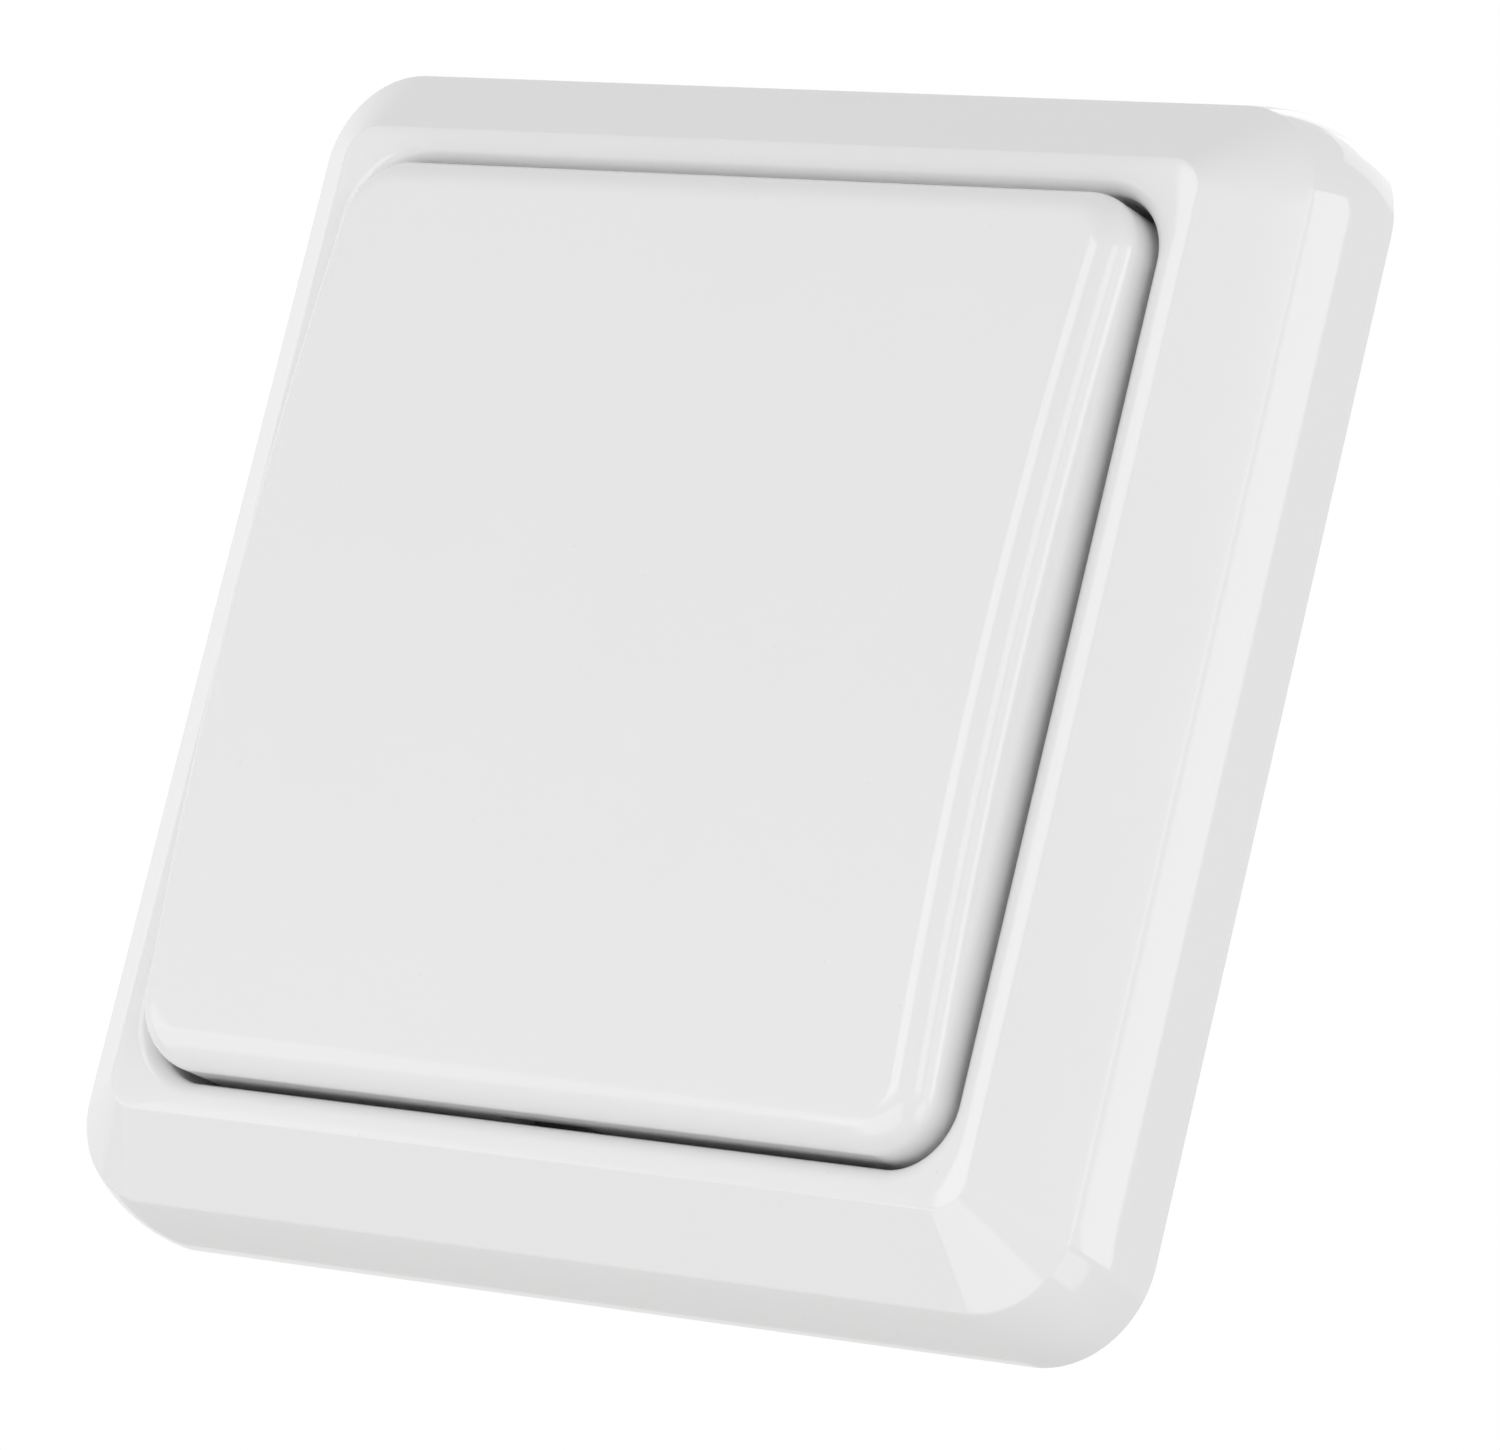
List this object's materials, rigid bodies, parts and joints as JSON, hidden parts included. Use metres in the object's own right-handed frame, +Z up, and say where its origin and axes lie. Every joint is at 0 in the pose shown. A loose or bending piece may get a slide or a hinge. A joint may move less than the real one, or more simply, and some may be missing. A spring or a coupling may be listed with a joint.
{
  "type": "wireless remote wall switch",
  "caption": "Square wireless wall switch: a crowned glossy rocker in a bevelled cover frame over a wall plate, with a battery radio unit and push switches inside.",
  "frame": {"origin": "centre of the flat back, on the wall", "axes": "+X to the right, +Z up the wall, the rocker faces -Y and the wall lies at +Y"},
  "size_m": [0.08, 0.0168, 0.08],
  "materials": {
    "frame_white": "smooth glossy white moulding",
    "rocker_white": "smooth glossy white moulding",
    "plate_grey": "fine matt light grey moulding",
    "unit_grey": "fine matt off-white moulding",
    "board_green": "green solder mask over glass laminate",
    "cell_steel": "finely turned nickel-plated steel",
    "contact_steel": "nickel-plated spring strip",
    "spring_steel": "drawn spring wire",
    "screw_steel": "bright zinc plating",
    "leg_tin": "tinned legs",
    "switch_black": "matt black moulding",
    "stem_white": "matt white moulding",
    "chip_black": "matt black moulding compound",
    "crystal_can": "plated can",
    "capacitor_tan": "fired ceramic",
    "resistor_black": "glazed black",
    "aerial_copper": "bare drawn copper"
  },
  "bodies": {
    "root": {"cover_frame": "frame_white", "wall_plate": "plate_grey", "unit_tray": "unit_grey", "unit_cover": "unit_grey", "circuit_board": "board_green", "coin_cell": "cell_steel", "cell_clip": "contact_steel", "cell_spring": "contact_steel", "switch_housing_upper": "switch_black", "switch_housing_lower": "switch_black", "switch_spring_upper": "spring_steel", "switch_spring_lower": "spring_steel", "switch_legs": "leg_tin", "cover_screws": "screw_steel", "radio_chip": "chip_black", "crystal": "crystal_can", "chip_capacitors": "capacitor_tan", "chip_resistors": "resistor_black", "aerial_coil": "aerial_copper"},
    "rocker": {"rocker_cap": "rocker_white"},
    "stem_upper": {"switch_stem_upper": "stem_white"},
    "stem_lower": {"switch_stem_lower": "stem_white"}
  },
  "joints": [
    {"name": "rocker_tilt", "type": "hinge", "parent": "root", "child": "rocker", "pos_m": [0, -0.008, 0], "axis": [1, 0, 0], "range_deg": [-3, 3], "stiffness_Nm_per_rad": 0.25},
    {"name": "stem_upper_slide", "type": "slide", "parent": "root", "child": "stem_upper", "axis": [0, 1, 0], "range_m": [-0.00095, 0.00095], "deforming": ["switch_spring_upper"]},
    {"name": "stem_lower_slide", "type": "slide", "parent": "root", "child": "stem_lower", "axis": [0, 1, 0], "range_m": [-0.00095, 0.00095], "deforming": ["switch_spring_lower"]}
  ],
  "couplings": [
    {"joint": "stem_upper_slide", "follows": "rocker_tilt", "m_per_rad": -0.017},
    {"joint": "stem_lower_slide", "follows": "rocker_tilt", "m_per_rad": 0.017}
  ]
}
